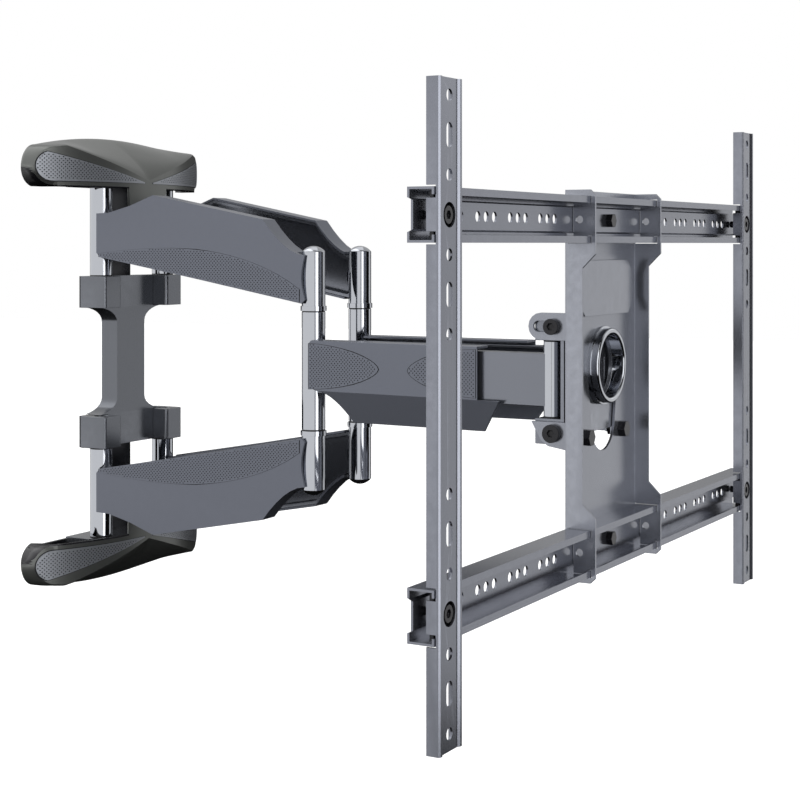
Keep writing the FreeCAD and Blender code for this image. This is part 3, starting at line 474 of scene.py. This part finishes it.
def makeCap(name, nodeName, low):
    shell = addPiece(name, mirrored(capShell(), z=low), "wall",
                     ["capPlastic", "boltBlack"], [nodeName])
    thick = shell.modifiers.new("capWall", "SOLIDIFY")
    thick.thickness = capShape["wall"]
    thick.offset = -1.0
    outline = wingOutline()
    for side, flip in (("Left", False), ("Right", True)):
        panel = onCapFace(dottedPanel(outline, capShape["pitch"], capShape["dot"], capShape["sunk"],
                                      capShape["proud"]))
        # the wing dots take the lighter painted-reflection copy of the cap plastic
        addPiece(name + side + "Dots", mirrored(panel, flip, low), "wall",
                 ["wingPlasticPaintedSheen", "dotShade"])
        seat = panelSeat(outline, grooveShape["capGrow"], grooveShape["proud"])
        longEdges = [edge for edge in seat.edges if edge.calc_length() > grooveShape["longEdge"]]
        bmesh.ops.subdivide_edges(seat, edges=longEdges, cuts=grooveShape["cuts"])
        bmesh.ops.triangulate(seat, faces=[face for face in seat.faces if len(face.verts) > 4])
        addPiece(name + side + "Groove", mirrored(onCapFace(seat), flip, low), "wall", "dotShade")


makeCap("topCap", "top_cap", False)
makeCap("bottomCap", "bottom_cap", True)
print("caps done")


# wall side
wallPieces = {
    # the wall plate takes the near-black painted-shade copy of the wall steel
    "wall_plate": dict(width=0.0006, finish="plateBlack", slot="wall_steel"),
    "spine_cover": dict(width=0.0008, finish="wallPaint", slot="wall_steel"),
    "upper_ears": dict(width=0.0012, finish="wallPaint", slot="wall_steel"),
    "lower_ears": dict(width=0.0012, finish="wallPaint", slot="wall_steel"),
    "upper_shelf": dict(width=0.0008, finish="wallPaint", slot="wall_steel"),
    "lower_shelf": dict(width=0.0008, finish="wallPaint", slot="wall_steel"),
    "shoulder_pins": dict(width=0.0005, finish="pinSteel", slot="pin_steel"),
    "shoulder_washers": dict(width=0.0002, finish="nylonBlack", slot="washer_nylon"),
}
for nodeName, look in wallPieces.items():
    softened(nodeName, "wall", look["finish"], look["width"], 3)
print("wall side done")

# arms
armEdges = dict(steel=0.0005, cover=0.0009, coverAngle=25.0, washer=0.0002, forearmSharp=9.0)
sleeveReach = dict(shoulder=0.0106, armElbow=0.0116, forearmElbow=0.0106, wrist=0.0076, top=0.2)
for side, sign in (("left", 1), ("right", -1)):
    shoulderAt = Vector((shoulder.x * sign, shoulder.y, 0))
    elbowAt = Vector((elbow.x * sign, elbow.y, 0))
    wristAt = Vector((wrist.x * sign, wrist.y, 0))
    top = sleeveReach["top"]
    sleeves = [(shoulderAt, sleeveReach["shoulder"], 0.0, top), (elbowAt, sleeveReach["armElbow"], 0.0, top)]
    farSleeves = [(elbowAt, sleeveReach["forearmElbow"], 0.0, top), (wristAt, sleeveReach["wrist"], 0.0, top)]
    for level in ("upper", "lower"):
        softened(f"{side}_{level}_arm", side + "_arm", ["armPaint", "columnPolish"],
                 armEdges["steel"], 2, shine=sleeves)
        softened(f"{side}_{level}_arm_cover", side + "_arm", "coverPlastic",
                 armEdges["cover"], 3, angle=armEdges["coverAngle"])
    softened(side + "_elbow_pin", side + "_arm", "pinSteel")
    softened(side + "_elbow_domes", side + "_arm", "columnPolish")
    softened(side + "_elbow_washers", side + "_arm", "nylonBlack", armEdges["washer"])
    softened(side + "_forearm", side + "_forearm", ["armPaint", "columnPolish"],
             armEdges["steel"], 2, shine=farSleeves)
    softened(side + "_forearm_cover", side + "_forearm", "coverPlastic",
             armEdges["cover"], 3, angle=armEdges["coverAngle"], sharp=armEdges["forearmSharp"])
print("arms done")

# dotted panels on the arm covers
armPanel = dict(outFace=0.0123, foot=0.0958, fall=0.177, length=0.228, swell=0.0265, skew=1.4, power=0.6,
                lift=0.0005, first=0.0072, last=0.2165,
                pitch=0.0023, dot=0.00095, sunk=0.00015, proud=0.0004, steps=18)
bulletPanel = dict(start=0.0035, tip=0.072, middle=0.0045, half=0.019, frontTip=0.1, frontEnd=0.162,
                   blunt=1.7, fullness=0.6, steps=9)


def lensOutline():
    steps = armPanel["steps"]
    foot = lambda along: armPanel["foot"] + armPanel["lift"] - armPanel["fall"] * along
    first, last = armPanel["first"], armPanel["last"]
    points = [(first, foot(first)), (last, foot(last))]
    for i in range(steps, -1, -1):
        along = first + (last - first) * i / steps
        part = (along / armPanel["length"]) ** armPanel["skew"]
        points.append((along, foot(along) + armPanel["swell"] * sin(pi * part) ** armPanel["power"]))
    return points


def bulletOutline(wide, tip):
    # a blunt tip at one end, nearly the cover's full height at the other; anticlockwise either way
    steps = bulletPanel["steps"]
    points = []
    for i in range(steps + 1):
        part = sin(pi / 2 * i / steps)
        taper = (1 - part ** bulletPanel["blunt"]) ** bulletPanel["fullness"]
        points.append((wide + (tip - wide) * part, bulletPanel["half"] * taper))
    lower = [(x, bulletPanel["middle"] - z) for x, z in points]
    upper = [(x, bulletPanel["middle"] + z) for x, z in points[::-1]]
    around = lower + upper[1:]
    return around if tip > wide else around[::-1]


def onCover(bm, pivot, turnBy):
    place = Matrix.Translation(pivot) @ Matrix.Rotation(turnBy, 4, "Z") @ Matrix.Translation(
        (-armPanel["outFace"], 0, 0)) @ Matrix.Rotation(radians(-90), 4, "Z")
    bmesh.ops.transform(bm, matrix=place, verts=bm.verts)
    return bm


def addCoverPanel(name, outline, pivot, turnBy, flip, low, body):
    panel = dottedPanel(outline, armPanel["pitch"], armPanel["dot"], armPanel["sunk"], armPanel["proud"])
    panel = mirrored(onCover(panel, pivot, turnBy), flip, low)
    addPiece(name + "Dots", panel, body, ["coverPlastic", "dotShade"])
    seat = panelSeat(outline, grooveShape["armGrow"], grooveShape["proud"])
    seat = mirrored(onCover(seat, pivot, turnBy), flip, low)
    addPiece(name + "Groove", seat, body, "dotShade")


shoulderFoot = Vector((shoulder.x, shoulder.y, 0))
elbowFoot = Vector((elbow.x, elbow.y, 0))
forearmPanels = {
    "Bullet": bulletOutline(bulletPanel["start"], bulletPanel["tip"]),
    "Fan": bulletOutline(bulletPanel["frontEnd"], bulletPanel["frontTip"]),
}
for side, flip in (("left", False), ("right", True)):
    for level, low in (("Upper", False), ("Lower", True)):
        addCoverPanel(side + level + "Lens", lensOutline(), shoulderFoot, armTurn, flip, low, side + "_arm")
    for label, outline in forearmPanels.items():
        addCoverPanel(side + label, outline, elbowFoot, -armTurn, flip, False, side + "_forearm")
print("panels done")

# head and screen side
screenPieces = {
    "head_yoke": dict(body="head", width=0.0005, finish="armPaint", slot="arm_steel"),
    "wrist_pins": dict(body="head", width=0.0004, finish="pinSteel", slot="pin_steel"),
    "wrist_washers": dict(body="head", width=0.0002, finish="nylonBlack", slot="washer_nylon"),
    "tilt_bolts": dict(body="head", width=0.0005, finish="boltBlack", slot="bolt_steel"),
    "tilt_plate": dict(body="tilt", width=0.0005, finish="platePaint", slot="screen_steel"),
    "level_ring": dict(body="tilt", width=0.0003, finish="columnPolish", slot="column_steel"),
    "centre_channel": dict(body="screen", width=0.0005, finish="platePaint", slot="screen_steel"),
    "upper_cross_rail": dict(body="screen", width=0.0004, finish="railPaint", slot="rail_steel"),
    "lower_cross_rail": dict(body="screen", width=0.0004, finish="railPaint", slot="rail_steel"),
    "rail_bolts": dict(body="screen", width=0.0006, finish="boltBlack", slot="bolt_steel"),
    "rail_nuts": dict(body="screen", width=0.0006, finish="boltBlack", slot="bolt_steel"),
    "level_bolts": dict(body="screen", width=0.0006, finish="boltBlack", slot="bolt_steel"),
}
for nodeName, look in screenPieces.items():
    softened(nodeName, look["body"], look["finish"], look["width"])
for side in ("left", "right"):
    softened(side + "_tv_rail", side + "_rail", "railPaint", 0.0006, 3)
    softened(side + "_rail_clamps", side + "_rail", "boltBlack", 0.0004)
    softened(side + "_clamp_screws", side + "_rail", "boltBlack", 0.0004)
print("screen side done")

# floor, light and camera
floorLook = dict(size=14.0, drop=0.6, colour=(0.82, 0.82, 0.82), glow=0.6, rough=0.9)
viewpoint = dict(at=(-1.2194, -1.005, 0.107), turn=-60.51, lens=74.66, shift=-0.1956, sensor=36.0, reach=60.0)
lightAim = (0.0, -0.26, 0.0)


def makeFloor():
    bm = bmesh.new()
    bmesh.ops.create_grid(bm, x_segments=1, y_segments=1, size=floorLook["size"])
    bmesh.ops.translate(bm, vec=(0, 0, cadLow[2] - floorLook["drop"]), verts=bm.verts)
    mesh = bpy.data.meshes.new("floor")
    bm.to_mesh(mesh)
    bm.free()
    material = bpy.data.materials.new("floorWhite")
    material.use_nodes = True
    shader = material.node_tree.nodes["Principled BSDF"]
    shader.inputs["Base Color"].default_value = (*floorLook["colour"], 1.0)
    shader.inputs["Roughness"].default_value = floorLook["rough"]
    shader.inputs["Specular IOR Level"].default_value = 0.0
    shader.inputs["Emission Color"].default_value = (1.0, 1.0, 1.0, 1.0)
    shader.inputs["Emission Strength"].default_value = floorLook["glow"]
    mesh.materials.append(material)
    floorPiece = bpy.data.objects.new("floor", mesh)
    floorPiece.visible_glossy = False  # the gloss stays dark towards the floor
    floorPiece.visible_diffuse = False
    scene.collection.objects.link(floorPiece)


softboxes = {  # where each box stands, its size and power in watts
    "rightFront": dict(at=(6.0, -3.6, 0.3), size=(3.9, 5.0), power=52.0),
    "top": dict(at=(0.6, 0.4, 2.6), size=(2.2, 2.2), power=9.0),
    "strip": dict(at=(-1.1, -2.62, 0.3), size=(1.1, 2.4), power=24.0),
}
# soft light from far off: each wash has a way it comes from, a soft edge and a strength
washes = {
    "side": dict(way=(-0.866, 0.5), edge=(0.05, 0.12), height=(-0.5, -0.15), strength=1.05),
    "back": dict(way=(0.87, 0.49), edge=(-0.3, 0.2), height=(0.0, 0.25), strength=0.6),
}
darkLevel = 0.006


def softStep(tree, value, edge, strength):
    ramp = tree.nodes.new("ShaderNodeMapRange")
    ramp.interpolation_type = "SMOOTHSTEP"
    ramp.inputs["From Min"].default_value = edge[0]
    ramp.inputs["From Max"].default_value = edge[1]
    ramp.inputs["To Min"].default_value = 0.0
    ramp.inputs["To Max"].default_value = strength
    tree.links.new(value, ramp.inputs["Value"])
    return ramp.outputs[0]


def makeLights():
    for name, box in softboxes.items():
        light = bpy.data.lights.new(name, "AREA")
        light.shape = "RECTANGLE"
        light.size, light.size_y = box["size"]
        light.energy = box["power"]
        lamp = bpy.data.objects.new(name, light)
        lamp.location = box["at"]
        aim = Vector(lightAim) - lamp.location
        lamp.rotation_euler = aim.to_track_quat("-Z", "Y").to_euler()
        lamp.visible_camera = False
        scene.collection.objects.link(lamp)
    world = bpy.data.worlds.new("studio")
    world.use_nodes = True
    tree = world.node_tree
    sky = tree.nodes["Background"]
    sky.inputs["Color"].default_value = (1, 1, 1, 1)
    path = tree.nodes.new("ShaderNodeLightPath")
    place = tree.nodes.new("ShaderNodeTexCoord")
    parts = tree.nodes.new("ShaderNodeSeparateXYZ")
    tree.links.new(place.outputs["Generated"], parts.inputs[0])
    total = darkLevel
    for wash in washes.values():
        towards = tree.nodes.new("ShaderNodeVectorMath")
        towards.operation = "DOT_PRODUCT"
        towards.inputs[1].default_value = (*wash["way"], 0.0)
        tree.links.new(place.outputs["Generated"], towards.inputs[0])
        around = softStep(tree, towards.outputs["Value"], wash["edge"], wash["strength"])
        upward = softStep(tree, parts.outputs["Z"], wash["height"], 1.0)
        total = mathNode(tree, "ADD", mathNode(tree, "MULTIPLY", around, upward), total)
    tree.links.new(mathNode(tree, "MAXIMUM", path.outputs["Is Camera Ray"], total), sky.inputs["Strength"])
    scene.world = world


def makeCamera():
    camera = bpy.data.cameras.new("view")
    camera.sensor_width = viewpoint["sensor"]
    camera.lens = viewpoint["lens"]
    camera.shift_y = viewpoint["shift"]
    camera.clip_end = viewpoint["reach"]
    holder = bpy.data.objects.new("view", camera)
    holder.location = viewpoint["at"]
    holder.rotation_euler = (radians(90), 0, radians(viewpoint["turn"]))
    scene.collection.objects.link(holder)
    scene.camera = holder


makeFloor()
makeLights()
makeCamera()
scene.view_settings.view_transform = "Standard"
print("stage done")
